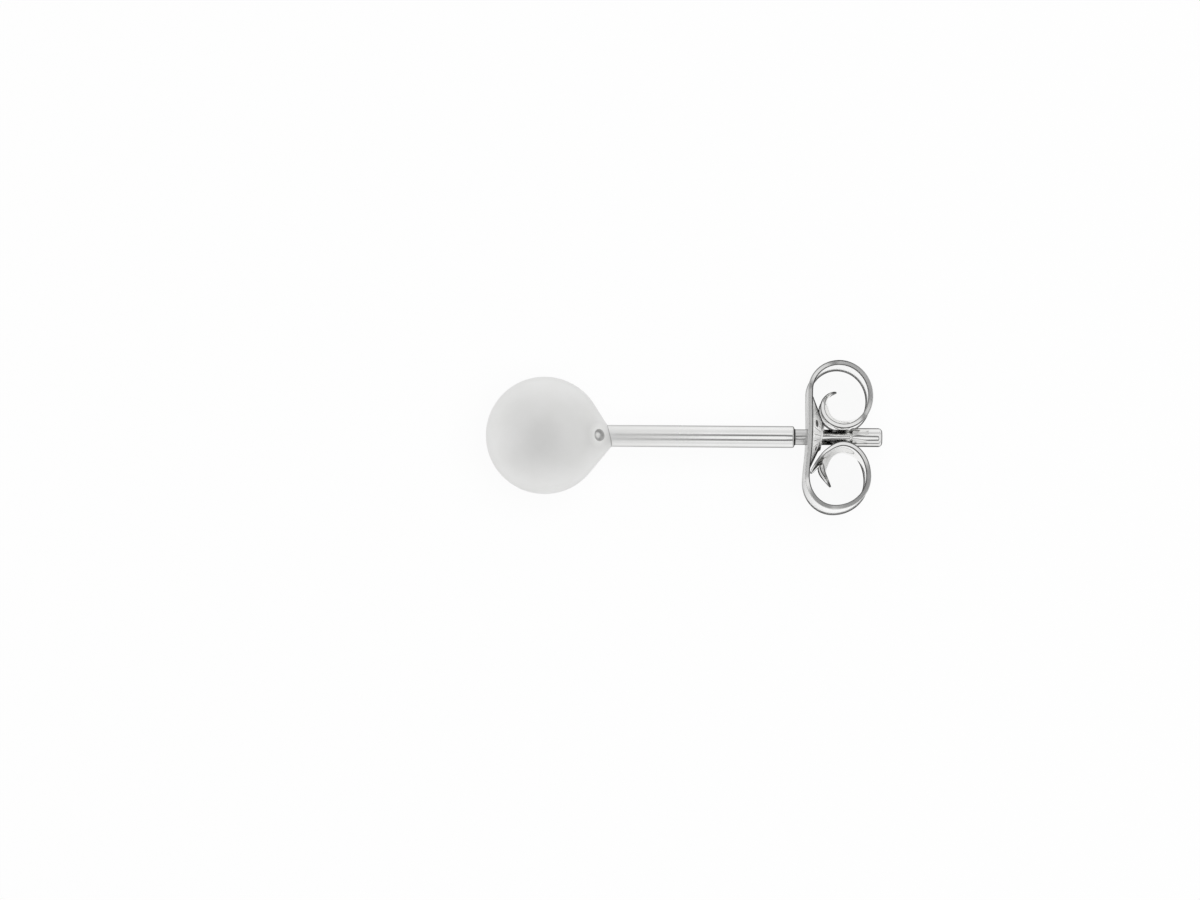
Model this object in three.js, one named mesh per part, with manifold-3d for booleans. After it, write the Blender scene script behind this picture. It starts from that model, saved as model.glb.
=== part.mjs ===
// Ball stud earring with a butterfly clutch, lying on a level surface.
// Millimetres, +Z up, +X along the post towards its free end, +Y across the clutch's scrolls.
// The origin is on the surface, below the middle of the earring's length.
import * as THREE from 'three';
import { mergeVertices } from 'three/addons/utils/BufferGeometryUtils.js';
import Module from 'manifold-3d';

const wasm = await Module();
wasm.setup();

// ---- driving dimensions ------------------------------------------------------------------

// Ball and post. Stations along the post are measured from the ball's centre.
const BALL_RADIUS = 2.0;
const POST_RADIUS = 0.37;
const NECK_RADIUS = 0.265;
const TIP_RADIUS = 0.32;
const NECK_START = 8.5;
const NECK_END = 10.45;
const POST_END = 11.52;
const SHOULDER_BEVEL = 0.05;
const TIP_ROUNDING = 0.14;
const TAPER_ANGLE = THREE.MathUtils.degToRad(36); // where the ball's back leaves the sphere
const SOLDER_FILLET = 0.22;
const VENT_RADIUS = 0.16;
const VENT_DEPTH = 0.14;
const VENT_ALONG_TAPER = 0.47; // from the edge of the sphere towards the post

// Clutch: one springy strip, a flat plate in the middle and a scroll at each end.
const CLUTCH_STATION = 8.97; // middle of the plate's thickness
const CLUTCH_SKEW = THREE.MathUtils.degToRad(2); // it sits slightly askew on the post
const SKEW_PIVOT = 0.8; // where its own centre line crosses the post, behind the plate
const STRIP_THICKNESS = 0.145;
const EDGE_ROUNDING = 0.055;
const TONGUE_END_LENGTH = 1.5;

// Half the strip's width, at distances along the strip from the plate's centre.
const STRIP_HALF_WIDTHS = [
  { along: 1.5, half: 1.9 },
  { along: 3.0, half: 1.66 },
  { along: 4.8, half: 1.58 },
  { along: 6.5, half: 1.3 },
];

// Each scroll: the straight half of the plate, then quarter ellipses that turn inwards
// (their reach along the post and across it), then the tongue's own curl and straight end.
const UPPER_SCROLL = {
  side: 1,
  straight: 1.5,
  quarters: [
    { along: 0.98, across: 0.96 },
    { along: 1.08, across: 1.14 },
    { along: 0.87, across: 0.994 },
    { along: 0.74, across: 0.634 },
  ],
  curl: { radius: 0.58, turn: THREE.MathUtils.degToRad(78) },
  tailLength: 0.02,
};
const LOWER_SCROLL = {
  side: -1,
  straight: 1.42,
  quarters: [
    { along: 0.96, across: 1.06 },
    { along: 1.14, across: 1.05 },
    { along: 0.89, across: 1.16 },
    { along: 0.71, across: 0.71 },
  ],
  curl: { radius: 0.6, turn: THREE.MathUtils.degToRad(33) },
  tailLength: 0.47,
};

// A channel pressed along each tongue, so that the post passes between the scrolls.
// Its ramps are placed by the distance along the strip from the plate's centre.
const CHANNEL_DEPTH = 0.22;
const CHANNEL_SHARE = 0.54; // of the strip's half width
const CHANNEL_START = 4.9;
const CHANNEL_FULL = 6.2;
const CHANNEL_FALL = 7.1;
const CHANNEL_END_SHARE = 0.5; // what is left of the depth at the tongue's tip

// The dish pressed into the plate towards the scrolls, with the post's hole in its top.
const DISH_RADIUS = 1.25;
const DISH_HEIGHT = 0.48;
const DISH_WALL_STEP = 0.06; // how much smaller its hollow is across
const HOLE_RADIUS = 0.43;

// Facets.
const BALL_SEGMENTS = 44;
const DISH_SEGMENTS = 36;
const HOLE_SEGMENTS = 24;
const VENT_SEGMENTS = 12;
const QUARTER_STEPS = 10;
const FACE_COLUMNS = [-1, -0.54, -0.36, -0.18, 0, 0.18, 0.36, 0.54, 1];

// At rest the ball and the plate's lower edge touch the surface, so the post dips to its tip.
const PLATE_BACK = STRIP_THICKNESS / 2;
const PLATE_HALF_WIDTH = STRIP_HALF_WIDTHS[0].half;
const DIP = Math.asin((BALL_RADIUS - PLATE_HALF_WIDTH) / CLUTCH_STATION);

// ---- solids and meshes -------------------------------------------------------------------

function toSolid(geometry) {
  const bare = geometry.clone();
  bare.deleteAttribute('normal');
  bare.deleteAttribute('uv');
  const merged = mergeVertices(bare, 1e-5);
  const mesh = new wasm.Mesh({
    numProp: 3,
    vertProperties: new Float32Array(merged.attributes.position.array),
    triVerts: new Uint32Array(merged.index.array),
  });
  return new wasm.Manifold(mesh);
}

function toGeometry(solid) {
  const mesh = solid.getMesh();
  const geometry = new THREE.BufferGeometry();
  geometry.setAttribute('position', new THREE.BufferAttribute(mesh.vertProperties, 3));
  geometry.setIndex(new THREE.BufferAttribute(mesh.triVerts, 1));
  geometry.computeVertexNormals();
  return geometry;
}

// Revolves a profile of {station, radius} rows about the X axis.
function turned(profile, segments) {
  const points = profile.map((row) => new THREE.Vector2(row.radius, row.station));
  return new THREE.LatheGeometry(points, segments).rotateZ(-Math.PI / 2);
}

function metal(name, color, roughness) {
  return new THREE.MeshStandardMaterial({ name, color, roughness, metalness: 1.0 });
}

// ---- ball and post, soldered into one piece ----------------------------------------------

function ballProfile() {
  const steps = 26;
  const profile = [{ station: -BALL_RADIUS, radius: 0 }];
  for (let i = 1; i <= steps; i += 1) {
    const angle = Math.PI + (TAPER_ANGLE - Math.PI) * (i / steps);
    profile.push({
      station: BALL_RADIUS * Math.cos(angle),
      radius: BALL_RADIUS * Math.sin(angle),
    });
  }
  return profile;
}

// The point on the ball's tapered back, at a distance from the edge of the sphere.
function onTaper(distance) {
  return {
    station: BALL_RADIUS * Math.cos(TAPER_ANGLE) + distance * Math.sin(TAPER_ANGLE),
    radius: BALL_RADIUS * Math.sin(TAPER_ANGLE) - distance * Math.cos(TAPER_ANGLE),
  };
}

// The solder's hollow fillet, tangent to the taper and to the post.
function filletProfile() {
  const steps = 5;
  const bend = Math.PI / 2 - TAPER_ANGLE;
  const taperLength = (BALL_RADIUS * Math.sin(TAPER_ANGLE) - POST_RADIUS) / Math.cos(TAPER_ANGLE);
  const start = onTaper(taperLength - SOLDER_FILLET * Math.tan(bend / 2));
  const centre = {
    station: start.station + SOLDER_FILLET * Math.cos(TAPER_ANGLE),
    radius: start.radius + SOLDER_FILLET * Math.sin(TAPER_ANGLE),
  };
  const profile = [];
  for (let i = 0; i <= steps; i += 1) {
    const angle = TAPER_ANGLE + bend * (i / steps);
    profile.push({
      station: centre.station - SOLDER_FILLET * Math.cos(angle),
      radius: centre.radius - SOLDER_FILLET * Math.sin(angle),
    });
  }
  return profile;
}

function postProfile() {
  const steps = 4;
  const profile = [
    { station: NECK_START - SHOULDER_BEVEL, radius: POST_RADIUS },
    { station: NECK_START, radius: NECK_RADIUS },
    { station: NECK_END, radius: NECK_RADIUS },
    { station: NECK_END + SHOULDER_BEVEL, radius: TIP_RADIUS },
  ];
  for (let i = 0; i <= steps; i += 1) {
    const angle = (Math.PI / 2) * (i / steps);
    profile.push({
      station: POST_END - TIP_ROUNDING + TIP_ROUNDING * Math.sin(angle),
      radius: TIP_RADIUS - TIP_ROUNDING + TIP_ROUNDING * Math.cos(angle),
    });
  }
  profile.push({ station: POST_END, radius: 0 });
  return profile;
}

function makeBallPost() {
  const profile = [...ballProfile(), ...filletProfile(), ...postProfile()];
  const body = toSolid(turned(profile, BALL_SEGMENTS));
  const mouth = onTaper(VENT_ALONG_TAPER);
  const drill = new THREE.CylinderGeometry(VENT_RADIUS, VENT_RADIUS, 2 * VENT_DEPTH, VENT_SEGMENTS);
  drill.rotateX(Math.PI / 2);
  drill.rotateY(Math.PI / 2 - TAPER_ANGLE);
  drill.translate(mouth.station, 0, mouth.radius);
  const mesh = new THREE.Mesh(
    toGeometry(body.subtract(toSolid(drill))),
    metal('satin_silver', 0xd8d8d6, 0.45),
  );
  mesh.name = 'ball_post';
  return mesh;
}

// ---- clutch strip ------------------------------------------------------------------------

// The middle line of one scroll, as stations {u, v, nu, nv, s}: u along the post, v across it,
// n the direction out of the scroll, and s the distance along the strip.
function scrollLine(scroll) {
  const line = [];
  let u = 0;
  let v = scroll.straight;
  let s = scroll.straight;
  const put = (nu, nv) => line.push({ u, v: scroll.side * v, nu, nv: scroll.side * nv, s });
  put(-1, 0);

  // A quarter ellipse turns the heading a quarter turn towards the inside.
  let heading = Math.PI / 2;
  for (const quarter of scroll.quarters) {
    const ahead = [Math.round(Math.cos(heading)), Math.round(Math.sin(heading))];
    const aside = [ahead[1], -ahead[0]];
    const reach = [quarter.along, quarter.across];
    const from = [u, v];
    for (let i = 1; i <= QUARTER_STEPS; i += 1) {
      const t = (Math.PI / 2) * (i / QUARTER_STEPS);
      const at = [0, 1].map(
        (k) => from[k] + reach[k] * (ahead[k] * Math.sin(t) + aside[k] * (1 - Math.cos(t))),
      );
      const pace = [0, 1].map(
        (k) => reach[k] * (ahead[k] * Math.cos(t) + aside[k] * Math.sin(t)),
      );
      const speed = Math.hypot(pace[0], pace[1]);
      s += Math.hypot(at[0] - u, at[1] - v);
      [u, v] = at;
      put(-pace[1] / speed, pace[0] / speed);
    }
    heading -= Math.PI / 2;
  }

  // The tongue's curl is a round arc, and its tail is straight.
  const curlSteps = 6;
  const turn = scroll.curl.turn / curlSteps;
  for (let i = 0; i < curlSteps; i += 1) {
    const chord = 2 * scroll.curl.radius * Math.sin(turn / 2);
    u += chord * Math.cos(heading - turn / 2);
    v += chord * Math.sin(heading - turn / 2);
    s += chord;
    heading -= turn;
    put(-Math.sin(heading), Math.cos(heading));
  }
  const tailSteps = 4;
  for (let i = 0; i < tailSteps; i += 1) {
    u += (scroll.tailLength / tailSteps) * Math.cos(heading);
    v += (scroll.tailLength / tailSteps) * Math.sin(heading);
    s += scroll.tailLength / tailSteps;
    put(-Math.sin(heading), Math.cos(heading));
  }
  return line;
}

function stripHalfWidth(s, length) {
  const rows = STRIP_HALF_WIDTHS;
  let half = rows[0].half;
  for (let i = 1; i < rows.length; i += 1) {
    const share = THREE.MathUtils.smoothstep(s, rows[i - 1].along, rows[i].along);
    half += (rows[i].half - rows[i - 1].half) * share;
  }
  const intoEnd = Math.max(0, 1 - (length - s) / TONGUE_END_LENGTH);
  return half * Math.sqrt(Math.max(0.01, 1 - intoEnd ** 2.4));
}

// The channel deepens from the scroll's far side to where the tongue meets the post.
function channelDepth(s, length) {
  const rise = THREE.MathUtils.smoothstep(s, CHANNEL_START, CHANNEL_FULL);
  const fall = THREE.MathUtils.smoothstep(s, CHANNEL_FALL, length);
  return CHANNEL_DEPTH * rise * (1 - (1 - CHANNEL_END_SHARE) * fall);
}

// One closed section of the strip: outer face, edge, inner face, edge.
function stripSection(at, half, depth) {
  const offset = (w, out) => [at.u + at.nu * out, at.v + at.nv * out, w];
  const face = half - Math.min(EDGE_ROUNDING, half / 3);
  const push = (q) => {
    const share = Math.abs(q) / CHANNEL_SHARE;
    return share < 1 ? (depth * (1 + Math.cos(Math.PI * share))) / 2 : 0;
  };
  const outer = FACE_COLUMNS.map((q) => offset(q * face, STRIP_THICKNESS / 2 - push(q)));
  const inner = FACE_COLUMNS.map((q) => offset(q * face, -STRIP_THICKNESS / 2 - push(q)));
  return [...outer, offset(half, 0), ...inner.reverse(), offset(-half, 0)];
}

// Skins a row of closed sections and closes its two ends.
function skinned(sections) {
  const around = sections[0].length;
  const positions = sections.flat(2);
  const index = [];
  for (let i = 0; i + 1 < sections.length; i += 1) {
    for (let j = 0; j < around; j += 1) {
      const a = i * around + j;
      const b = i * around + ((j + 1) % around);
      index.push(a, b, a + around, b, b + around, a + around);
    }
  }
  const last = (sections.length - 1) * around;
  for (let j = 1; j + 1 < around; j += 1) {
    index.push(0, j + 1, j);
    index.push(last, last + j, last + j + 1);
  }
  const geometry = new THREE.BufferGeometry();
  geometry.setAttribute('position', new THREE.Float32BufferAttribute(positions, 3));
  geometry.setIndex(index);
  return geometry;
}

function makeStrip() {
  const sections = [];
  const upper = scrollLine(UPPER_SCROLL);
  const lower = scrollLine(LOWER_SCROLL);
  const addSections = (line, stations) => {
    const length = line[line.length - 1].s;
    for (const at of stations) {
      sections.push(stripSection(at, stripHalfWidth(at.s, length), channelDepth(at.s, length)));
    }
  };
  addSections(lower, [...lower].reverse());
  addSections(upper, upper);
  return toSolid(skinned(sections));
}

// ---- the plate's dish --------------------------------------------------------------------

// A dome of {station, radius} rows that rises from one level by the dish's height.
function domeProfile(level, radius) {
  const steps = 9;
  const profile = [];
  for (let i = 0; i <= steps; i += 1) {
    const share = 1 - i / steps;
    profile.push({
      station: level + DISH_HEIGHT * Math.cos((Math.PI / 2) * share ** 2),
      radius: radius * share,
    });
  }
  return profile;
}

function closedDome(base, level, radius) {
  const profile = [{ station: base, radius: 0 }, { station: base, radius }];
  profile.push(...domeProfile(level, radius));
  return toSolid(turned(profile, DISH_SEGMENTS));
}

function makeClutch() {
  const dome = closedDome(0, PLATE_BACK, DISH_RADIUS);
  const hollow = closedDome(-1, -PLATE_BACK, DISH_RADIUS - DISH_WALL_STEP);
  const punch = new THREE.CylinderGeometry(HOLE_RADIUS, HOLE_RADIUS, 1.4, HOLE_SEGMENTS);
  punch.rotateZ(Math.PI / 2);
  const solid = makeStrip().add(dome).subtract(hollow).subtract(toSolid(punch));
  const mesh = new THREE.Mesh(toGeometry(solid), metal('polished_silver', 0xe4e4e2, 0.12));
  mesh.name = 'butterfly_clutch';
  mesh.rotation.z = -CLUTCH_SKEW;
  mesh.position.set(
    CLUTCH_STATION + SKEW_PIVOT * (1 - Math.cos(CLUTCH_SKEW)),
    SKEW_PIVOT * Math.sin(CLUTCH_SKEW),
    0,
  );
  return mesh;
}

// ---- assembly ----------------------------------------------------------------------------

const earring = new THREE.Group();
earring.add(makeBallPost());
earring.add(makeClutch());
earring.rotation.y = DIP;
earring.position.set(-(POST_END - BALL_RADIUS) / 2, 0, BALL_RADIUS);

export default earring;
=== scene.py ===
"""Ball stud earring with a butterfly clutch: detailed pieces, metals, light and camera."""

import math

import bmesh
import bpy
from mathutils import Matrix, Vector


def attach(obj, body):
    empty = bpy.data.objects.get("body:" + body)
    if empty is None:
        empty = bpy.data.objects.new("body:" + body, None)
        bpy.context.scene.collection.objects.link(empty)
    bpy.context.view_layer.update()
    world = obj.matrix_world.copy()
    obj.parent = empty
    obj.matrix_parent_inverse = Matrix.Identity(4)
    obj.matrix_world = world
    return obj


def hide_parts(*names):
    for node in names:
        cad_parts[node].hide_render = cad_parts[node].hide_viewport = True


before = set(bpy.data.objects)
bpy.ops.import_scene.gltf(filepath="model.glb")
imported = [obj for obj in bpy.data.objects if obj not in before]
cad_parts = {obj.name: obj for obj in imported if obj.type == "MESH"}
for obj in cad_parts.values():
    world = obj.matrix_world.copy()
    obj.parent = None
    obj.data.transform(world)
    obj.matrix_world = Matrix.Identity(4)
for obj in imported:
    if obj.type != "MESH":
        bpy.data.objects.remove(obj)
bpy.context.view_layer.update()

MM = 0.001

# ---- dimensions in millimetres ---------------------------------------------------------------

# Most are the CAD's. The strip is thinner, to take a bead along its edges, its dish is a cone, and
# the neck starts a little later.

# Ball and post. Stations along the post are measured from the ball's centre.
BALL_RADIUS = 2.0
POST_RADIUS = 0.37
NECK_RADIUS = 0.265
TIP_RADIUS = 0.32
POST_START = 1.9  # hidden inside the ball's tapered back
NECK_START = 8.52
NECK_END = 10.45
POST_END = 11.52
TAPER_ANGLE = math.radians(36)

# Clutch: one strip with a plate in the middle and a scroll at each end.
CLUTCH_STATION = 8.97
CLUTCH_SKEW = math.radians(2)
SKEW_PIVOT = 0.8
STRIP_THICKNESS = 0.1
EDGE_ROUNDING = 0.035
TONGUE_END_LENGTH = 1.5
STRIP_HALF_WIDTHS = [(1.5, 1.9), (3.0, 1.66), (4.8, 1.58), (6.5, 1.3)]

# A scroll is a straight start, four quarter turns with two radii each, a curl and a tail. Its
# outer_rim and inner_rim give the painted shade in its upper cut edge's two corners, from 0,
# bright, to 1, black, by the distance along the strip: dark lines standing in for shade and dark
# reflections.
# The slant is how far its cut edges slope in the curl, tongue is how dark its end is painted as
# shade, and one of the two scrolls has a bent corner.
UPPER_SCROLL = {
    "side": 1,
    "straight": 1.5,
    "quarters": [(0.98, 0.96), (1.08, 1.14), (0.87, 0.994), (0.74, 0.634)],
    "curl_radius": 0.58,
    "curl_turn": math.radians(78),
    "tail": 0.02,
    "outer_rim": [
        (1.4, 0.3), (2.2, 0.8), (3, 1), (3.6, 0.7), (4.2, 0.5), (5.2, 0.5), (6, 1), (7, 0.8),
    ],
    "inner_rim": [
        (1.5, 1), (2.4, 0.9), (3, 0.8), (3.6, 0.9), (4.6, 0.8), (5.4, 0.6), (6.2, 0.5), (7, 0.3),
    ],
    "slant": 0.33,
    "tongue": 0.0,
    "bent_corner": False,
}
LOWER_SCROLL = {
    "side": -1,
    "straight": 1.42,
    "quarters": [(0.96, 1.06), (1.14, 1.05), (0.89, 1.16), (0.71, 0.71)],
    "curl_radius": 0.6,
    "curl_turn": math.radians(33),
    "tail": 0.47,
    "outer_rim": [(1.4, 0.3), (2.2, 0), (3.6, 0), (4.4, 0.5), (5.4, 0.9), (6.2, 0.9), (7.5, 1)],
    "inner_rim": [(1.5, 1), (2.2, 0.8), (3.4, 0.8), (4.6, 0.9), (5.8, 1), (6.6, 0.8), (7.4, 0.9)],
    "slant": -0.33,
    "tongue": 0.25,
    "bent_corner": True,
}
CHANNEL_DEPTH = 0.22
CHANNEL_SHARE = 0.54
CHANNEL_START = 4.9
CHANNEL_FULL = 6.2
CHANNEL_FALL = 7.1
CHANNEL_END_SHARE = 0.5
DISH_RADIUS = 1.42
DISH_HEIGHT = 0.49
HOLE_RADIUS = 0.43

# Where the earring lies: the ball and the plate's lower edge touch the surface.
PLATE_HALF_WIDTH = STRIP_HALF_WIDTHS[0][1]
DIP = math.asin((BALL_RADIUS - PLATE_HALF_WIDTH) / CLUTCH_STATION)
MIDDLE = (POST_END - BALL_RADIUS) / 2
EARRING = Matrix.Translation((-MIDDLE, 0, BALL_RADIUS)) @ Matrix.Rotation(DIP, 4, "Y")
CLUTCH = (
    EARRING
    @ Matrix.Translation(
        (
            CLUTCH_STATION + SKEW_PIVOT * (1 - math.cos(CLUTCH_SKEW)),
            SKEW_PIVOT * math.sin(CLUTCH_SKEW),
            0,
        )
    )
    @ Matrix.Rotation(-CLUTCH_SKEW, 4, "Z")
)

# ---- camera ----------------------------------------------------------------------------------

CAMERA_DISTANCE = 450.0
CAMERA_ELEVATION = math.radians(86.5)
CAMERA_ROLL = math.radians(0.35)
FRAME_WIDTH = 40.93  # what the picture takes in, in mm, at the target
CAMERA_TARGET = Vector((-2.864, -0.487, 2.0))


def make_camera():
    data = bpy.data.cameras.new("camera")
    data.sensor_width = 36.0
    data.lens = data.sensor_width * CAMERA_DISTANCE / FRAME_WIDTH
    data.clip_start = 0.01
    data.clip_end = 10.0
    camera = bpy.data.objects.new("camera", data)
    bpy.context.scene.collection.objects.link(camera)
    back = Vector((0, -math.cos(CAMERA_ELEVATION), math.sin(CAMERA_ELEVATION)))
    level_up = Vector((0, math.sin(CAMERA_ELEVATION), math.cos(CAMERA_ELEVATION)))
    right = math.cos(CAMERA_ROLL) * Vector((1, 0, 0)) + math.sin(CAMERA_ROLL) * level_up
    up = back.cross(right)
    turn = Matrix((right, up, back)).transposed()
    place = (CAMERA_TARGET + CAMERA_DISTANCE * back) * MM
    camera.matrix_world = Matrix.Translation(place) @ turn.to_4x4()
    bpy.context.scene.camera = camera


# ---- mesh helpers ----------------------------------------------------------------------------


def smoothstep(x, low, high):
    t = min(1.0, max(0.0, (x - low) / (high - low)))
    return t * t * (3 - 2 * t)


def add_object(name, mesh, material, place):
    """Links a mesh built in millimetres as a piece of the scene. place is its own frame."""
    mesh.transform(Matrix.Scale(MM, 4))
    for polygon in mesh.polygons:
        polygon.use_smooth = True
    mesh.materials.append(material)
    piece = bpy.data.objects.new(name, mesh)
    bpy.context.scene.collection.objects.link(piece)
    piece.matrix_world = Matrix.Translation(place.translation * MM) @ place.to_3x3().to_4x4()
    return piece


def along(table, at):
    """The value at a place in a table of (place, value) rows, in a straight line between rows."""
    if at <= table[0][0]:
        return table[0][1]
    for (from_at, from_value), (to_at, to_value) in zip(table, table[1:]):
        if at <= to_at:
            return from_value + (to_value - from_value) * (at - from_at) / (to_at - from_at)
    return table[-1][1]


def lathe_mesh(name, profile, segments):
    """Revolves (station, radius) rows about the X axis. The first and last rows are on it."""
    verts = [(profile[0][0], 0, 0)]
    for station, radius in profile[1:-1]:
        for k in range(segments):
            angle = 2 * math.pi * k / segments
            verts.append((station, radius * math.cos(angle), radius * math.sin(angle)))
    verts.append((profile[-1][0], 0, 0))
    last = len(verts) - 1
    rings = len(profile) - 2
    faces = []
    for k in range(segments):
        after = (k + 1) % segments
        faces.append((0, 1 + after, 1 + k))
        for i in range(rings - 1):
            a = 1 + i * segments
            b = a + segments
            faces.append((a + k, a + after, b + after, b + k))
        end = 1 + (rings - 1) * segments
        faces.append((end + k, end + after, last))
    mesh = bpy.data.meshes.new(name)
    mesh.from_pydata(verts, [], faces)
    return mesh


def arc_rows(centre_station, centre_radius, rounding, start, stop, steps):
    """(station, radius) rows on an arc. An angle of 0 points away from the axis, 90 to +X."""
    rows = []
    for i in range(steps + 1):
        angle = start + (stop - start) * i / steps
        rows.append(
            (
                centre_station + rounding * math.sin(angle),
                centre_radius + rounding * math.cos(angle),
            )
        )
    return rows


# ---- ball ------------------------------------------------------------------------------------

BALL_RINGS = 84
BALL_SEGMENTS = 160
TAPER_RINGS = 14
APEX_ROUNDING = 0.06
CONE_TILT_ACROSS = math.radians(-3.5)  # the tapered back isn't quite in line with the post
CONE_TILT_UP = math.radians(-2.3)
PIT_RADIUS = 0.185
PIT_STRETCH = 1.35  # longer along the taper than across it
PIT_DEPTH = 0.06
PIT_ALONG_TAPER = 0.47
PIT_ACROSS = 0.085
PIT_TURN = math.pi / 2 - TAPER_ANGLE  # turns X to lie along the taper
PIT_WALL = 0.7  # the wall starts at this share of the radius
PIT_DOME = (0.35, 0.75)  # the dome in the middle, as shares of the depth and the radius
LIP_HEIGHT = 0.012
LIP_RADIUS = 1.15 * PIT_RADIUS
LIP_WIDTH = 0.03
FINER_WITHIN = (0.5, 0.42, 0.34)  # the mesh is split once within each distance from the pit


def ball_profile():
    rows = [(-BALL_RADIUS, 0.0)]
    for i in range(1, BALL_RINGS + 1):
        angle = math.pi + (TAPER_ANGLE - math.pi) * i / BALL_RINGS
        rows.append((BALL_RADIUS * math.cos(angle), BALL_RADIUS * math.sin(angle)))
    edge_station, edge_radius = rows[-1]
    taper_length = edge_radius / math.cos(TAPER_ANGLE) - APEX_ROUNDING
    for i in range(1, TAPER_RINGS + 1):
        distance = taper_length * i / TAPER_RINGS
        rows.append(
            (
                edge_station + distance * math.sin(TAPER_ANGLE),
                edge_radius - distance * math.cos(TAPER_ANGLE),
            )
        )
    rows.append((rows[-1][0] + 0.3 * APEX_ROUNDING, 0.0))
    return rows


def pit_height(distance):
    """The vent pit's height at a distance from its centre: a shallow bowl with a dome in it and a
    raised lip round it."""
    dome_height, dome_reach = PIT_DOME
    floor = -PIT_DEPTH * (1 - smoothstep(distance, PIT_WALL * PIT_RADIUS, PIT_RADIUS))
    dome = dome_height * PIT_DEPTH * (1 - smoothstep(distance, 0, dome_reach * PIT_RADIUS))
    lip = LIP_HEIGHT * math.exp(-(((distance - LIP_RADIUS) / LIP_WIDTH) ** 2))
    return floor + dome + lip


def cone_tilt():
    return Matrix.Rotation(CONE_TILT_ACROSS, 4, "Z") @ Matrix.Rotation(CONE_TILT_UP, 4, "Y")


def pit_centre():
    station = BALL_RADIUS * math.cos(TAPER_ANGLE) + PIT_ALONG_TAPER * math.sin(TAPER_ANGLE)
    radius = BALL_RADIUS * math.sin(TAPER_ANGLE) - PIT_ALONG_TAPER * math.cos(TAPER_ANGLE)
    return Vector((station, PIT_ACROSS, radius))


def sink_pit(mesh):
    centre = pit_centre()
    to_pit = (Matrix.Translation(centre) @ Matrix.Rotation(PIT_TURN, 4, "Y")).inverted()
    squeeze = Matrix.Diagonal((1 / PIT_STRETCH, 1, 1, 1))
    outward = Vector((math.cos(TAPER_ANGLE), 0, math.sin(TAPER_ANGLE)))
    bm = bmesh.new()
    bm.from_mesh(mesh)
    for reach in FINER_WITHIN:
        edges = [e for e in bm.edges if all((v.co - centre).length < reach for v in e.verts)]
        bmesh.ops.subdivide_edges(bm, edges=edges, cuts=1, use_grid_fill=True)
    for v in bm.verts:
        distance = (squeeze @ to_pit @ v.co).length
        if distance < 2 * PIT_RADIUS:
            v.co = v.co + outward * pit_height(distance)
    bmesh.ops.recalc_face_normals(bm, faces=bm.faces)
    bm.to_mesh(mesh)
    bm.free()


def make_ball(material):
    mesh = lathe_mesh("ball", ball_profile(), BALL_SEGMENTS)
    sink_pit(mesh)
    mesh.transform(cone_tilt())
    return add_object("ball", mesh, material, EARRING)


# ---- post ------------------------------------------------------------------------------------

POST_SEGMENTS = 128
SHANK_STEPS = 24
NECK_STEPS = 6
RISE_STEPS = 8
SHANK_CHAMFER = 0.01
SHANK_CHAMFER_LENGTH = 0.05
SHOULDER_ROUNDING = 0.07
NECK_FILLET = 0.05
RISE_LENGTH = 0.12  # the neck widens to the tip over this length
TIP_STRAIGHT = 0.6
TIP_ROUNDING = 0.14


def post_profile():
    quarter = math.pi / 2
    shank = POST_START + SHANK_CHAMFER_LENGTH
    shoulder = NECK_START - SHOULDER_ROUNDING
    rows = [(POST_START, 0.0), (POST_START, POST_RADIUS - SHANK_CHAMFER), (shank, POST_RADIUS)]
    for i in range(1, SHANK_STEPS):
        rows.append((shank + (shoulder - shank) * i / SHANK_STEPS, POST_RADIUS))
    rows += arc_rows(shoulder, POST_RADIUS - SHOULDER_ROUNDING, SHOULDER_ROUNDING, 0, quarter, 8)
    neck = NECK_START + NECK_FILLET
    fillet = arc_rows(neck, NECK_RADIUS + NECK_FILLET, NECK_FILLET, -quarter, -2 * quarter, 6)
    rows += fillet[1:]
    rise_start = NECK_END - NECK_FILLET
    for i in range(1, NECK_STEPS):
        rows.append((neck + (rise_start - neck) * i / NECK_STEPS, NECK_RADIUS))
    for i in range(RISE_STEPS + 1):
        share = i / RISE_STEPS
        rise = (TIP_RADIUS - NECK_RADIUS) * smoothstep(share, 0, 1)
        rows.append((rise_start + RISE_LENGTH * share, NECK_RADIUS + rise))
    rows.append((POST_END - TIP_STRAIGHT, TIP_RADIUS))
    tip = POST_END - TIP_ROUNDING
    rows += arc_rows(tip, TIP_RADIUS - TIP_ROUNDING, TIP_ROUNDING, 0, quarter, 10)
    rows.append((POST_END, 0.0))
    return rows


def make_post(material):
    mesh = lathe_mesh("post", post_profile(), POST_SEGMENTS)
    return add_object("post", mesh, material, EARRING)


# ---- clutch ----------------------------------------------------------------------------------

QUARTER_STEPS = 26
CURL_STEPS = 22
TAIL_STEPS = 10
PLATE_STEPS = 84
FACE_COLUMNS = 64
EDGE_STEPS = 4
RIM_COLUMNS = [0.0, 0.014, 0.028, 0.042, 0.06, 0.085]  # distances in from a long edge
RIM_WIDTH = 0.06  # the cut edges' corners, painted dark as shade
BEAD_HEIGHT = 0.035
BEAD_WIDTH = 0.055
TONGUE_THINNING = 0.8  # the strip thins over this length to each tongue's end
TONGUE_END_SHARE = 0.3
CHANNEL_RUN_OUT = 0.9  # and its channel runs out over this length
SLANT_START = 5.2  # from here to the tongue's end the cut edges slope across
SLANT_RUN_IN = 0.6

# The dish isn't quite in the middle of the plate, and has a burr drawn up round its hole.
DISH_SHIFT = 0.15
DISH_SLOPE = 0.44
DISH_CORNER = 0.05
DISH_FLANK = 0.64
COLLAR_HEIGHT = 0.05
COLLAR_RADII = (0.45, 0.51)
HOLE_SEGMENTS = 96
PUNCH_REACH = (-1.0, 1.4)
PLATE_BOW = 0.055  # how far the plate's long edges are drawn back beside the dish
BOW_BELOW = (-1.42, -0.3)
BOW_ABOVE = (0.1, 1.5)

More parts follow.
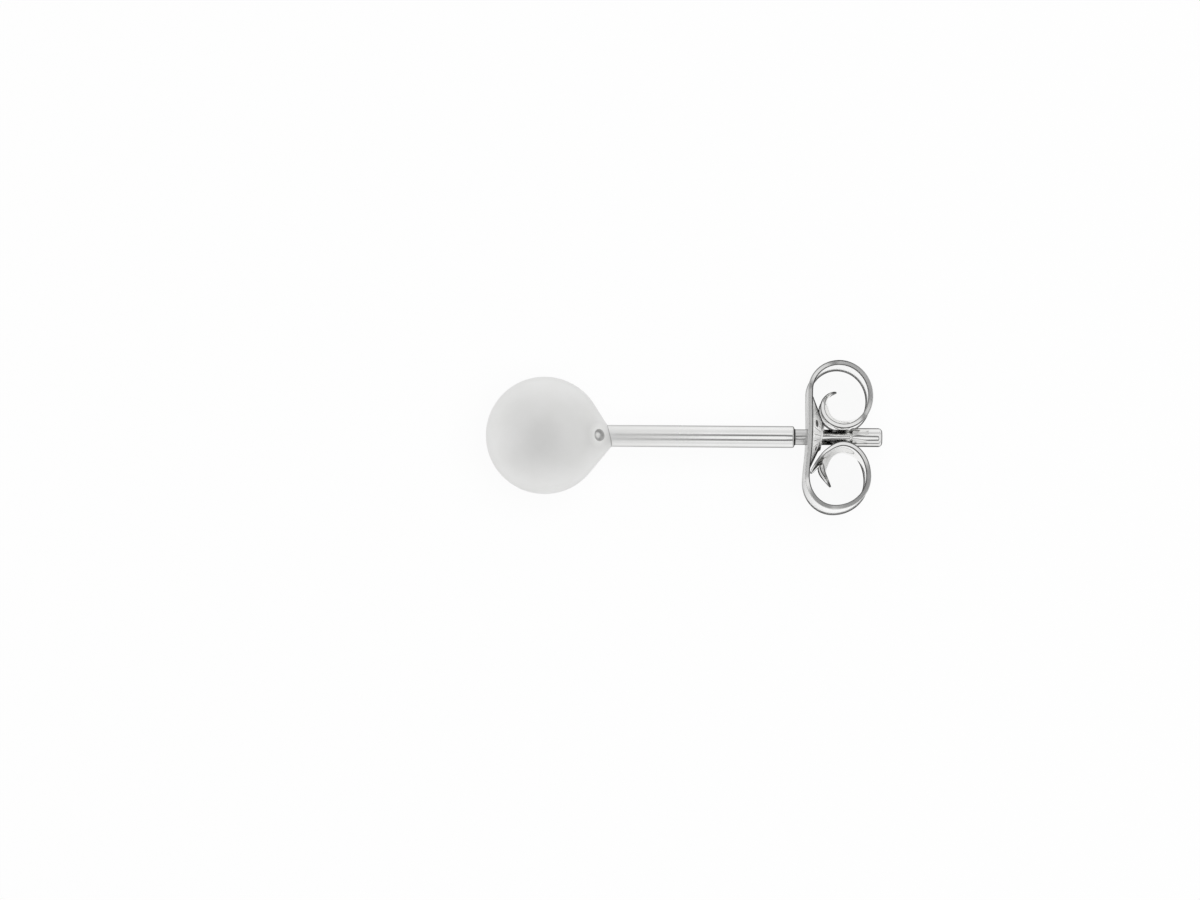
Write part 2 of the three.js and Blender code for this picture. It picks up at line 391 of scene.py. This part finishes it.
# The larger scroll's upper corner is bent forward and down, until it meets the plate. A row is
# (how far, from, to), the last two by the distance along the strip.
CORNER_FORWARD = [(0.12, 6.1, 7.0), (0.27, 6.7, 7.4)]
CORNER_DOWN = [(0.17, 6.3, 7.1), (0.33, 6.8, 7.4)]
CORNER_REACH = 1.1  # in from the edge
CORNER_END = 7.46
CORNER_RELEASE = 0.12
CORNER_LAG = 0.35  # its end is cut at a slant, so it ends earlier away from the edge
CORNER_CLOSING = [(6.5, 0), (7.25, 1), (7.4, 1), (7.55, 0)]  # it thins, and its edge squares up
CORNER_THINNING = 0.65

# Painted shade, from 0, bright, to 1, black, by the distance along the strip: down the middle of
# the cut edges, in the corners of the lower cut edge and on the plate's front face. It darkens the
# colour where the strip shows shade and dark reflections.
EDGE_PAINTED_SHADE = [
    (1.6, 0.06), (2.4, 0.2), (3.0, 0.05), (3.6, 0.25), (4.6, 0.5), (5.4, 0.25), (6.0, 0.0),
]
LOWER_RIM = [(1.3, 0.3), (2.2, 1.0)]
FRONT_PAINTED_SHADE = [(1.6, 0.35), (2.8, 0.0)]
SHADED_TONGUE = (6.3, 7.0)
SHADED_TONGUE_EDGE = (7.5, 7.64)
SHADED_END = (0.1, 0.3)  # from a tongue's end
SHADED_RING = [(0.44, 0.5), (0.52, 0.58)]  # round the hole, where it starts and where it ends

# Satin adds roughness, and from PALE_SATIN's first value to its second the metal turns pale.
EDGE_SATIN = 0.5
FRONT_SATIN = 3  # times the front's painted shade
DISH_SATIN = 1.5
PALE_SATIN = (0.6, 1.4)

# Heights of the dish where its satin starts, and where its strokes start and stop. The strokes
# fade towards the scrolls, by the distance across.
SATIN_FOOT = (0.02, 0.06)
STROKES_FOOT = (0.14, 0.2)
STROKES_TOP = (0.36, 0.44)
STROKES_SIDE = (0.3, 0.55)


def scroll_line(scroll):
    """The strip's middle line along one scroll, as (u, v, nu, nv, s) rows. u runs along the post
    and v across it, n points out of the scroll, and s is the distance along the strip."""
    side = scroll["side"]
    u = 0.0
    v = scroll["straight"]
    s = scroll["straight"]
    line = [(u, side * v, -1.0, 0.0, s)]
    heading = math.pi / 2
    for reach in scroll["quarters"]:
        ahead = (round(math.cos(heading)), round(math.sin(heading)))
        aside = (ahead[1], -ahead[0])
        start = (u, v)
        for i in range(1, QUARTER_STEPS + 1):
            t = math.pi / 2 * i / QUARTER_STEPS
            at = [
                start[k] + reach[k] * (ahead[k] * math.sin(t) + aside[k] * (1 - math.cos(t)))
                for k in (0, 1)
            ]
            pace = [
                reach[k] * (ahead[k] * math.cos(t) + aside[k] * math.sin(t)) for k in (0, 1)
            ]
            speed = math.hypot(*pace)
            s += math.hypot(at[0] - u, at[1] - v)
            u, v = at
            line.append((u, side * v, -pace[1] / speed, side * pace[0] / speed, s))
        heading -= math.pi / 2
    turn = scroll["curl_turn"] / CURL_STEPS
    chord = 2 * scroll["curl_radius"] * math.sin(turn / 2)
    for _ in range(CURL_STEPS):
        u += chord * math.cos(heading - turn / 2)
        v += chord * math.sin(heading - turn / 2)
        s += chord
        heading -= turn
        line.append((u, side * v, -math.sin(heading), side * math.cos(heading), s))
    step = scroll["tail"] / TAIL_STEPS
    for _ in range(TAIL_STEPS):
        u += step * math.cos(heading)
        v += step * math.sin(heading)
        s += step
        line.append((u, side * v, -math.sin(heading), side * math.cos(heading), s))
    return line


def strip_half_width(s, length):
    half = STRIP_HALF_WIDTHS[0][1]
    for (from_s, from_half), (to_s, to_half) in zip(STRIP_HALF_WIDTHS, STRIP_HALF_WIDTHS[1:]):
        half += (to_half - from_half) * smoothstep(s, from_s, to_s)
    into_end = max(0.0, 1 - (length - s) / TONGUE_END_LENGTH)
    return half * math.sqrt(max(0.01, 1 - into_end**2.4))


def channel_depth(s, length):
    rise = smoothstep(s, CHANNEL_START, CHANNEL_FULL)
    fall = smoothstep(s, CHANNEL_FALL, length)
    end = smoothstep(length - s, 0.0, CHANNEL_RUN_OUT)
    return CHANNEL_DEPTH * rise * (1 - (1 - CHANNEL_END_SHARE) * fall) * end


def from_dish_centre(v, w):
    return math.hypot(v - DISH_SHIFT, w)


def dish_height(v, w):
    """How far the plate is pressed back at a point: a cone with soft corners and a flat top."""
    cone = DISH_SLOPE * (DISH_RADIUS - from_dish_centre(v, w))
    foot = (cone + math.hypot(cone, DISH_CORNER)) / 2
    short = DISH_HEIGHT - foot
    top = DISH_HEIGHT - (short + math.hypot(short, DISH_CORNER)) / 2
    return top + COLLAR_HEIGHT * (1 - smoothstep(math.hypot(v, w), *COLLAR_RADII))


def dish_painted_shade(v, w):
    """Painted shade on the dish's back: dark beside the collar and on its two flanks beside the
    scrolls, standing in for the shade and dark reflections there.
    """
    away = math.hypot(v, w)
    ring_start, ring_end = SHADED_RING
    ring = smoothstep(away, *ring_start) * (1 - smoothstep(away, *ring_end))
    ring *= 0.3 + 0.6 * smoothstep(abs(v), 0.15, 0.3)
    reach = DISH_FLANK * math.sqrt(abs(v - DISH_SHIFT))
    flank = 1 - smoothstep(abs(w), 0.8 * reach, reach)
    return max(ring, flank * smoothstep(abs(v), 0.25, 0.4))


def corner_share(inset):
    """How much a point moves with the bent corner, by its distance in from the edge."""
    return 1 - smoothstep(inset, 0, CORNER_REACH)


def corner_shift(s, inset):
    """How far forward and down the bent corner is moved at a point."""
    near = corner_share(inset)
    end = CORNER_END - CORNER_LAG * (1 - near)
    held = near * (1 - smoothstep(s, end - CORNER_RELEASE, end))
    forward = sum(far * smoothstep(s, start, stop) for far, start, stop in CORNER_FORWARD)
    down = sum(far * smoothstep(s, start, stop) for far, start, stop in CORNER_DOWN)
    return held * forward, held * down


def corner_closing(s, scroll):
    return along(CORNER_CLOSING, s) if scroll["bent_corner"] else 0.0


def section_outline(half, s, scroll):
    """Points (w, out, painted_shade, satin) round the strip's section: outer face, upper edge,
    inner face, lower edge. Both edges carry a slight bead, with shade painted dark in its corners."""
    flat = half - EDGE_ROUNDING
    inner_flat = flat - RIM_COLUMNS[-1]
    columns = [d - flat for d in RIM_COLUMNS]
    columns += [inner_flat * (2 * i / FACE_COLUMNS - 1) for i in range(1, FACE_COLUMNS)]
    columns += [flat - d for d in reversed(RIM_COLUMNS)]
    bead_top = STRIP_THICKNESS / 2 + BEAD_HEIGHT
    middle = bead_top - EDGE_ROUNDING
    # The tongue, edge, rim and face values are painted shade: dark lines and bands standing in for
    # shade and dark reflections.
    tongue = scroll["tongue"] * smoothstep(s, *SHADED_TONGUE)
    edge = max(along(EDGE_PAINTED_SHADE, s), scroll["tongue"] * smoothstep(s, *SHADED_TONGUE_EDGE))
    upper_rims = {1: along(scroll["outer_rim"], s), -1: along(scroll["inner_rim"], s)}
    lower_rims = {1: along(LOWER_RIM, s), -1: LOWER_RIM[-1][1]}
    points = []
    for side in (1, -1):
        face = along(FRONT_PAINTED_SHADE, s) if side > 0 else 0.0
        for column in columns:
            w = side * column
            inset = flat - abs(w)
            out = bead_top - BEAD_HEIGHT * smoothstep(inset, 0.0, BEAD_WIDTH)
            rim = upper_rims[side] if w > 0 else lower_rims[side]
            rim *= 1 - smoothstep(inset, 0.6 * RIM_WIDTH, 1.1 * RIM_WIDTH)
            points.append((w, side * out, max(rim, face, tongue), FRONT_SATIN * face))
        rims = upper_rims if side > 0 else lower_rims
        for i in range(1, EDGE_STEPS + 1):
            turn = math.pi / 2 * i / EDGE_STEPS
            w = flat + EDGE_ROUNDING * math.sin(turn)
            out = middle + EDGE_ROUNDING * math.cos(turn)
            points.append((side * w, side * out, rims[side], EDGE_SATIN))
        for share in (0.9, 0.5, -0.5, -0.9):
            points.append((side * half, side * share * middle, edge, EDGE_SATIN))
        for i in range(EDGE_STEPS):
            turn = math.pi / 2 * (1 - i / EDGE_STEPS)
            w = flat + EDGE_ROUNDING * math.sin(turn)
            out = -middle - EDGE_ROUNDING * math.cos(turn)
            points.append((side * w, side * out, rims[-side], EDGE_SATIN))
    slant = scroll["slant"] * smoothstep(s, SLANT_START, SLANT_START + SLANT_RUN_IN)
    slant *= 1 - corner_closing(s, scroll)
    low_side = -bead_top if slant > 0 else bead_top
    sloped = []
    for w, out, painted_shade, satin in points:
        drop = abs(slant) * abs(out + low_side) * smoothstep(abs(w), inner_flat, flat)
        sloped.append((w - math.copysign(drop, w), out, painted_shade, satin))
    return sloped


def strip_section(row, scroll, length, on_plate=False):
    """One closed section of the strip as (x, y, z, painted_shade, satin, strokes) points."""
    u, v, nu, nv, s = row
    half = strip_half_width(s, length)
    depth = channel_depth(s, length)
    thinning = TONGUE_END_SHARE
    thinning += (1 - TONGUE_END_SHARE) * smoothstep(length - s, 0, TONGUE_THINNING)
    end = 1 - smoothstep(length - s, *SHADED_END)
    closing = corner_closing(s, scroll)
    section = []
    for w, out, painted_shade, satin in section_outline(half, s, scroll):
        forward, down = corner_shift(s, half - w) if scroll["bent_corner"] else (0.0, 0.0)
        closed = 1 - CORNER_THINNING * closing * corner_share(half - w)
        share = abs(w) / (half * CHANNEL_SHARE)
        push = depth * (1 + math.cos(math.pi * share)) / 2 if share < 1 else 0.0
        shift = out * thinning * closed - push
        back = 0.0
        dish = 0.0
        strokes = 0.0
        if on_plate:
            bow = PLATE_BOW * smoothstep(v, *BOW_BELOW) * (1 - smoothstep(v, *BOW_ABOVE))
            height = dish_height(v, w)
            back = height + bow * smoothstep(abs(w), 0.6 * half, half)
            if out < 0:
                dish = smoothstep(height, *SATIN_FOOT)
                # painted shade on the dish's back, beside its collar and flanks
                painted_shade = max(painted_shade, dish * dish_painted_shade(v, w))
                strokes = smoothstep(height, *STROKES_FOOT)
                strokes *= 1 - smoothstep(height, *STROKES_TOP)
                strokes *= 1 - smoothstep(abs(v), *STROKES_SIDE)
        at = (u + nu * shift + back - forward, v + nv * shift - down, w)
        section.append((*at, max(painted_shade, end), max(satin, DISH_SATIN * dish), strokes))
    return section


def add_attribute(mesh, name, values):
    attribute = mesh.attributes.new(name, "FLOAT", "POINT")
    attribute.data.foreach_set("value", values)


def make_clutch(material):
    upper = scroll_line(UPPER_SCROLL)
    lower = scroll_line(LOWER_SCROLL)
    sections = [strip_section(row, LOWER_SCROLL, lower[-1][4]) for row in reversed(lower)]
    for i in range(1, PLATE_STEPS):
        low_v = -LOWER_SCROLL["straight"]
        v = low_v + (UPPER_SCROLL["straight"] - low_v) * i / PLATE_STEPS
        row = (0.0, v, -1.0, 0.0, abs(v))
        sections.append(strip_section(row, UPPER_SCROLL, upper[-1][4], on_plate=True))
    sections += [strip_section(row, UPPER_SCROLL, upper[-1][4]) for row in upper]
    around = len(sections[0])
    faces = []
    for i in range(len(sections) - 1):
        for j in range(around):
            after = (j + 1) % around
            a = i * around
            b = a + around
            faces.append((a + j, a + after, b + after, b + j))
    last = (len(sections) - 1) * around
    faces.append(tuple(reversed(range(around))))
    faces.append(tuple(last + j for j in range(around)))
    points = [point for section in sections for point in section]
    mesh = bpy.data.meshes.new("clutch")
    mesh.from_pydata([point[:3] for point in points], [], faces)
    add_attribute(mesh, "painted_shade", [point[3] for point in points])
    add_attribute(mesh, "satin", [point[4] for point in points])
    add_attribute(mesh, "strokes", [point[5] for point in points])
    bm = bmesh.new()
    bm.from_mesh(mesh)
    bmesh.ops.recalc_face_normals(bm, faces=bm.faces)
    bm.to_mesh(mesh)
    bm.free()
    punch_hole(mesh)
    return add_object("clutch", mesh, material, CLUTCH)


def punch_hole(mesh):
    """Cuts the post's round hole through the top of the dish."""
    front, back = PUNCH_REACH
    profile = [(front, 0.0), (front, HOLE_RADIUS), (back, HOLE_RADIUS), (back, 0.0)]
    punch = bpy.data.objects.new("punch", lathe_mesh("punch", profile, HOLE_SEGMENTS))
    strip = bpy.data.objects.new("strip", mesh)
    for thing in (punch, strip):
        bpy.context.scene.collection.objects.link(thing)
    cut = strip.modifiers.new("hole", "BOOLEAN")
    cut.operation = "DIFFERENCE"
    cut.solver = "EXACT"
    cut.object = punch
    graph = bpy.context.evaluated_depsgraph_get()
    result = bpy.data.meshes.new_from_object(strip.evaluated_get(graph))
    bm = bmesh.new()
    bm.from_mesh(result)
    bm.to_mesh(mesh)
    bm.free()
    for thing in (punch, strip):
        bpy.data.objects.remove(thing)
    bpy.data.meshes.remove(result)


# ---- materials -------------------------------------------------------------------------------

# Places in a material are in metres, in the piece's own frame.
NOISE_RANGE = (0.3, 0.7)  # where most of a noise texture's values lie
# Near black: a dark stain at the ball's seam, and painted shade and painted dark reflections on
# the pit, post and clutch.
TARNISH_AND_PAINTED_SHADE = (0.025, 0.024, 0.023)


def new_material(name):
    material = bpy.data.materials.new(name)
    material.use_nodes = True
    tree = material.node_tree
    return material, tree, tree.nodes["Principled BSDF"]


def noise(tree, coordinates, scale, detail=3.0, stretch=(1, 1, 1)):
    mapping = tree.nodes.new("ShaderNodeMapping")
    mapping.inputs["Scale"].default_value = stretch
    tree.links.new(coordinates, mapping.inputs["Vector"])
    texture = tree.nodes.new("ShaderNodeTexNoise")
    texture.inputs["Scale"].default_value = scale
    texture.inputs["Detail"].default_value = detail
    tree.links.new(mapping.outputs["Vector"], texture.inputs["Vector"])
    return texture.outputs["Fac"]


def remap(tree, value, low, high, from_low=NOISE_RANGE[0], from_high=NOISE_RANGE[1]):
    node = tree.nodes.new("ShaderNodeMapRange")
    node.inputs["From Min"].default_value = from_low
    node.inputs["From Max"].default_value = from_high
    node.inputs["To Min"].default_value = low
    node.inputs["To Max"].default_value = high
    tree.links.new(value, node.inputs["Value"])
    return node.outputs["Result"]


def rising(tree, value, start, stop, most=1):
    """0 up to the start, and the most from the stop on. Start and stop are in mm."""
    return remap(tree, value, 0, most, start * MM, stop * MM)


def falling(tree, value, start, stop, most=1):
    """The most up to the start, and 0 from the stop on. Start and stop are in mm."""
    return remap(tree, value, most, 0, start * MM, stop * MM)


def bump(tree, height, strength, distance):
    node = tree.nodes.new("ShaderNodeBump")
    node.inputs["Strength"].default_value = strength
    node.inputs["Distance"].default_value = distance * MM
    tree.links.new(height, node.inputs["Height"])
    return node.outputs["Normal"]


def tint(tree, value, dark, light):
    """A colour between two, by a noise texture's value."""
    ramp = tree.nodes.new("ShaderNodeValToRGB")
    for element, at, colour in zip(ramp.color_ramp.elements, NOISE_RANGE, (dark, light)):
        element.position = at
        element.color = (*colour, 1)
    tree.links.new(value, ramp.inputs["Fac"])
    return ramp.outputs["Color"]


def mixed(tree, share, colour, other):
    """A colour going over to another, given one, as share goes from 0 to 1."""
    mix = tree.nodes.new("ShaderNodeMix")
    mix.data_type = "RGBA"
    mix.inputs["B"].default_value = (*other, 1)
    tree.links.new(share, mix.inputs["Factor"])
    tree.links.new(colour, mix.inputs["A"])
    return mix.outputs["Result"]


def math_node(tree, operation, first, second=0.0):
    node = tree.nodes.new("ShaderNodeMath")
    node.operation = operation
    for socket, value in zip(node.inputs, (first, second)):
        if isinstance(value, (int, float)):
            socket.default_value = value
        else:
            tree.links.new(value, socket)
    return node.outputs["Value"]


def times(tree, first, *others):
    for other in others:
        first = math_node(tree, "MULTIPLY", first, other)
    return first


def greatest(tree, first, *others):
    for other in others:
        first = math_node(tree, "MAXIMUM", first, other)
    return first


def attribute(tree, name):
    node = tree.nodes.new("ShaderNodeAttribute")
    node.attribute_name = name
    return node.outputs["Fac"]


def separated(tree, vector):
    node = tree.nodes.new("ShaderNodeSeparateXYZ")
    tree.links.new(vector, node.inputs["Vector"])
    return tuple(node.outputs)


def away_from(tree, value, at):
    """The distance of one coordinate from a value given in mm."""
    return math_node(tree, "ABSOLUTE", math_node(tree, "SUBTRACT", value, at * MM))


def distance_to(tree, coordinates, at):
    """The distance of a place from a point given in mm."""
    node = tree.nodes.new("ShaderNodeVectorMath")
    node.operation = "DISTANCE"
    node.inputs[1].default_value = [x * MM for x in at]
    tree.links.new(coordinates, node.inputs[0])
    return node.outputs["Value"]


def from_axis(tree, y, z):
    """The distance from the post's centre line, by a place's Y and Z."""
    across = tree.nodes.new("ShaderNodeCombineXYZ")
    tree.links.new(y, across.inputs["Y"])
    tree.links.new(z, across.inputs["Z"])
    return distance_to(tree, across.outputs["Vector"], (0, 0, 0))


# Satin ball. Its distances are in mm from the vent pit's centre and from the post's centre line.
PIT_SHADE_INSIDE = (0.08, 0.15)
PIT_SHADE_OUTSIDE = (0.19, 0.22)
PIT_SHADE = 0.45
PIT_PALE_REACH = (0.27, 0.45)
PIT_PALE_SILVER = (0.97, 0.97, 0.96)
SEAM = (0.39, 0.43)  # the dark line where the ball meets the post
SEAM_STAIN = 0.4


def satin_silver():
    """Fine satin silver, paler round the vent pit, with painted shade along the pit's wall and a
    dark stain where the ball meets the post."""
    material, tree, shader = new_material("satin_silver_ball")
    shader.inputs["Metallic"].default_value = 1.0
    shader.inputs["Specular Tint"].default_value = (0.68, 0.68, 0.68, 1)
    place = tree.nodes.new("ShaderNodeTexCoord").outputs["Object"]
    cloud = noise(tree, place, 900.0)
    grain = noise(tree, place, 26000.0, detail=4.0)
    to_pit = tree.nodes.new("ShaderNodeMapping")
    to_pit.vector_type = "TEXTURE"
    to_pit.inputs["Location"].default_value = cone_tilt() @ pit_centre() * MM
    to_pit.inputs["Rotation"].default_value = (0, PIT_TURN, 0)
    to_pit.inputs["Scale"].default_value = (PIT_STRETCH, 1, 1)
    tree.links.new(place, to_pit.inputs["Vector"])
    from_pit = distance_to(tree, to_pit.outputs["Vector"], (0, 0, 0))
    # The pit's wall is painted dark as the shade in the recess.
    wall = rising(tree, from_pit, *PIT_SHADE_INSIDE, PIT_SHADE)
    wall = times(tree, wall, falling(tree, from_pit, *PIT_SHADE_OUTSIDE))
    x, y, z = separated(tree, place)
    seam = falling(tree, from_axis(tree, y, z), *SEAM, SEAM_STAIN)
    seam = times(tree, seam, rising(tree, x, 0, 1))  # only on the side where the post is
    bright = tint(tree, cloud, (0.875, 0.875, 0.865), (0.915, 0.915, 0.91))
    bright = mixed(tree, falling(tree, from_pit, *PIT_PALE_REACH), bright, PIT_PALE_SILVER)
    stained_and_shaded = mixed(tree, greatest(tree, wall, seam), bright, TARNISH_AND_PAINTED_SHADE)
    tree.links.new(stained_and_shaded, shader.inputs["Base Color"])
    tree.links.new(remap(tree, cloud, 0.6, 0.64), shader.inputs["Roughness"])
    tree.links.new(bump(tree, grain, 0.25, 0.004), shader.inputs["Normal"])
    return material


# Post. Places are stations in mm from the ball's centre, or mm off the centre line.
GLOSS_RISE = (1.8, 6.8)
GLOSS_ROUGHNESS = (0.48, 0.11)  # beside the ball, and further along
NECK_MIDDLE = 0.01  # the neck's bright middle is a little off the centre line
NECK_FLANK = (0.07, 0.1)
FLANK_START = (9.0, 9.3)
FLANK_END = (NECK_END - 0.2, NECK_END - 0.1)
SHOULDER_LINE = NECK_START + 0.01
SHOULDER_LINE_WIDTH = (0.02, 0.035)
BEFORE_PLATE_START = (NECK_START, NECK_START + 0.04)
BEFORE_PLATE_END = (9.0, 9.1)
END_LINE = (POST_END - 0.05, POST_END - 0.02)
END_LINE_INSIDE = (0.17, 0.2)
TIP_LINES_START = (NECK_END - 0.05, NECK_END + 0.05)
TIP_LINES_END = (POST_END - 0.14, POST_END - 0.08)
TIP_LINE_WIDTH = (0.008, 0.022)
TIP_LINES = [(0.303, 0.9), (0.14, 0.3), (-0.218, 0.7), (-0.3, 0.8)]  # (off the centre, painted shade)


def post_silver():
    """Smooth drawn wire: brighter away from the ball, with painted shade and painted dark
    reflections along the neck's flanks, at its shoulder, before the plate and at the post's end,
    and fine dark lines painted along the tip as its shaded outlines."""
    material, tree, shader = new_material("smooth_silver_post")
    shader.inputs["Metallic"].default_value = 1.0
    shader.inputs["Specular Tint"].default_value = (0.15, 0.15, 0.15, 1)
    place = tree.nodes.new("ShaderNodeTexCoord").outputs["Object"]
    drawn = noise(tree, place, 24000.0, stretch=(0.02, 1, 1))
    cloud = noise(tree, place, 1500.0)
    shade_noise = noise(tree, place, 6000.0, stretch=(0.4, 1, 1))
    x, y, z = separated(tree, place)
    along_neck = times(tree, rising(tree, x, *FLANK_START), falling(tree, x, *FLANK_END))
    flanks = rising(tree, away_from(tree, y, NECK_MIDDLE), *NECK_FLANK, 0.95)
    flanks = times(tree, along_neck, flanks, remap(tree, shade_noise, 0.7, 1.0))
    shoulder = falling(tree, away_from(tree, x, SHOULDER_LINE), *SHOULDER_LINE_WIDTH, 0.9)
    before_plate = rising(tree, x, *BEFORE_PLATE_START, 0.3)
    before_plate = times(tree, before_plate, falling(tree, x, *BEFORE_PLATE_END))
    end = rising(tree, x, *END_LINE, 0.85)
    end = times(tree, end, rising(tree, from_axis(tree, y, z), *END_LINE_INSIDE))
    # All of these are painted shade: dark bands and lines standing in for shadow, dark reflections
    # and outlines.
    dark = greatest(tree, flanks, shoulder, before_plate, end)
    on_tip = times(tree, rising(tree, x, *TIP_LINES_START), falling(tree, x, *TIP_LINES_END))
    for offset, painted_shade in TIP_LINES:
        line = falling(tree, away_from(tree, y, offset), *TIP_LINE_WIDTH, painted_shade)
        dark = greatest(tree, dark, times(tree, line, on_tip))
    bright = tint(tree, cloud, (0.86, 0.86, 0.85), (0.89, 0.89, 0.885))
    roughness = remap(tree, x, *GLOSS_ROUGHNESS, *(at * MM for at in GLOSS_RISE))
    tree.links.new(roughness, shader.inputs["Roughness"])
    tree.links.new(mixed(tree, dark, bright, TARNISH_AND_PAINTED_SHADE), shader.inputs["Base Color"])
    tree.links.new(bump(tree, drawn, 0.12, 0.002), shader.inputs["Normal"])
    return material


# The strokes are dark lines painted as the shade of radial creases on the dish's back.
STROKES = 14  # in each half turn round the dish
STROKE_TOP = (0.88, 0.98)  # a stroke is the top of a wave: where it starts, where it is full
PIT_SHADE_SPOTS = [((0.29, 0.4, 0.838), 0.11), ((0.29, -0.445, 0.64), 0.07)]  # (place, radius) in mm
ON_BACK = (1.2, 1.4)  # satin of the dish's back, which keeps the pits off the front


def polished_silver():
    """Bright strip: darkened by its painted shade, standing in for shade and dark reflections,
    pale on the plate's satin faces, with dark strokes and two dark spots painted on the dish's
    back as the shade of creases and small pits."""
    material, tree, shader = new_material("polished_silver_clutch")
    place = tree.nodes.new("ShaderNodeTexCoord").outputs["Object"]
    cloud = noise(tree, place, 1200.0)
    waves = noise(tree, place, 2500.0, detail=1.0)
    satin = attribute(tree, "satin")
    _, y, z = separated(tree, place)
    turn = times(tree, math_node(tree, "ARCTAN2", z, y), 2 * STROKES)
    wave = math_node(tree, "COSINE", math_node(tree, "ADD", turn, cloud))
    strokes = times(tree, remap(tree, wave, 0, 0.8, *STROKE_TOP), attribute(tree, "strokes"))
    marks = greatest(tree, attribute(tree, "painted_shade"), strokes)
    on_back = remap(tree, satin, 0, 1, *ON_BACK)
    for at, size in PIT_SHADE_SPOTS:
        pit = falling(tree, distance_to(tree, place, at), size, 1.25 * size)
        marks = greatest(tree, marks, times(tree, pit, on_back))
    # The painted shade, strokes and spots darken the colour.
    painted_dark = times(tree, marks, remap(tree, cloud, 0.85, 1.0))
    bright = tint(tree, cloud, (0.89, 0.89, 0.88), (0.92, 0.92, 0.915))
    tree.links.new(mixed(tree, painted_dark, bright, TARNISH_AND_PAINTED_SHADE), shader.inputs["Base Color"])
    tree.links.new(remap(tree, satin, 1.0, 0.2, *PALE_SATIN), shader.inputs["Metallic"])
    rough = math_node(tree, "ADD", times(tree, painted_dark, 0.4), times(tree, satin, 0.16))
    tree.links.new(math_node(tree, "ADD", rough, 0.1), shader.inputs["Roughness"])
    tree.links.new(bump(tree, waves, 0.1, 0.004), shader.inputs["Normal"])
    return material


FLOOR_GREY = 0.04
FLOOR_GLOW = 0.928


def floor_material():
    material, _, shader = new_material("white_ground")
    shader.inputs["Base Color"].default_value = (FLOOR_GREY, FLOOR_GREY, FLOOR_GREY, 1)
    shader.inputs["Roughness"].default_value = 1.0
    shader.inputs["Specular IOR Level"].default_value = 0.0
    shader.inputs["Emission Color"].default_value = (1, 1, 1, 1)
    shader.inputs["Emission Strength"].default_value = FLOOR_GLOW
    return material


# ---- light and ground ------------------------------------------------------------------------

# Brightness of the surroundings by the angle from the middle of the overhead panel, in degrees.
SURROUNDINGS = [
    (0, 1.0), (14.5, 0.98), (19.5, 0.24), (32, 0.22), (38, 0.98),
    (44, 1.0), (51, 0.86), (65, 0.8), (85, 0.86), (98, 0.97),
]
PANEL_DIRECTION = Vector((-0.08, -0.23, 1))
# Grey screens stand round the table, low enough to show in upright faces only.
SCREENS = 4
SCREEN_SHADE = 0.6
SCREEN_EDGE = (-0.9, 0.1)  # of a wave round the horizon
SCREEN_TOP = (0.1, 0.4)  # height, as the sine of the angle above or below the horizon


def make_surroundings():
    world = bpy.data.worlds.new("studio")
    bpy.context.scene.world = world
    world.use_nodes = True
    tree = world.node_tree
    background = tree.nodes["Background"]
    place = tree.nodes.new("ShaderNodeTexCoord").outputs["Generated"]
    dot = tree.nodes.new("ShaderNodeVectorMath")
    dot.operation = "DOT_PRODUCT"
    dot.inputs[1].default_value = PANEL_DIRECTION.normalized()
    tree.links.new(place, dot.inputs[0])
    angle = math_node(tree, "ARCCOSINE", dot.outputs["Value"])
    ramp = tree.nodes.new("ShaderNodeValToRGB")
    elements = ramp.color_ramp.elements
    while len(elements) < len(SURROUNDINGS):
        elements.new(0.5)
    for element, (degrees, value) in zip(elements, SURROUNDINGS):
        element.position = degrees / 180
        element.color = (value, value, value, 1)
    tree.links.new(math_node(tree, "DIVIDE", angle, math.pi), ramp.inputs["Fac"])
    tree.links.new(ramp.outputs["Color"], background.inputs["Color"])
    x, y, z = separated(tree, place)
    turn = times(tree, math_node(tree, "ARCTAN2", y, x), SCREENS)
    screen = remap(tree, math_node(tree, "COSINE", turn), SCREEN_SHADE, 0, *SCREEN_EDGE)
    low = remap(tree, math_node(tree, "ABSOLUTE", z), 1, 0, *SCREEN_TOP)
    brightness = math_node(tree, "SUBTRACT", 1, times(tree, screen, low))
    tree.links.new(brightness, background.inputs["Strength"])


FILL_POWER = 1.4
FILL_SIZE = 0.3
FILL_HEIGHT = 0.35
FILL_AHEAD = 0.08


def make_fill():
    """A soft panel overhead. It shows in no reflection, so it lights only the ground and the
    plate's pale satin faces."""
    data = bpy.data.lights.new("fill", "AREA")
    data.size = FILL_SIZE
    data.energy = FILL_POWER
    fill = bpy.data.objects.new("fill", data)
    fill.location = (FILL_AHEAD, 0, FILL_HEIGHT)
    fill.visible_glossy = False
    bpy.context.scene.collection.objects.link(fill)


GROUND_REACH = 0.6


def make_ground():
    mesh = bpy.data.meshes.new("ground")
    sides = ((-1, -1), (1, -1), (1, 1), (-1, 1))
    corners = [(x * GROUND_REACH, y * GROUND_REACH, 0) for x, y in sides]
    mesh.from_pydata(corners, [], [(0, 1, 2, 3)])
    mesh.materials.append(floor_material())
    ground = bpy.data.objects.new("ground", mesh)
    bpy.context.scene.collection.objects.link(ground)


# ---- the scene -------------------------------------------------------------------------------

make_camera()
make_surroundings()
make_fill()
make_ground()

ball = make_ball(satin_silver())
post = make_post(post_silver())
clutch = make_clutch(polished_silver())
for piece in (ball, post):
    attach(piece, "stud")
    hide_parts("ball_post")
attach(clutch, "clutch")
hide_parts("butterfly_clutch")

bpy.context.scene.view_settings.view_transform = "Standard"
bpy.context.scene.cycles.max_bounces = 16  # light goes many times between the polished faces
bpy.context.scene.cycles.glossy_bounces = 14
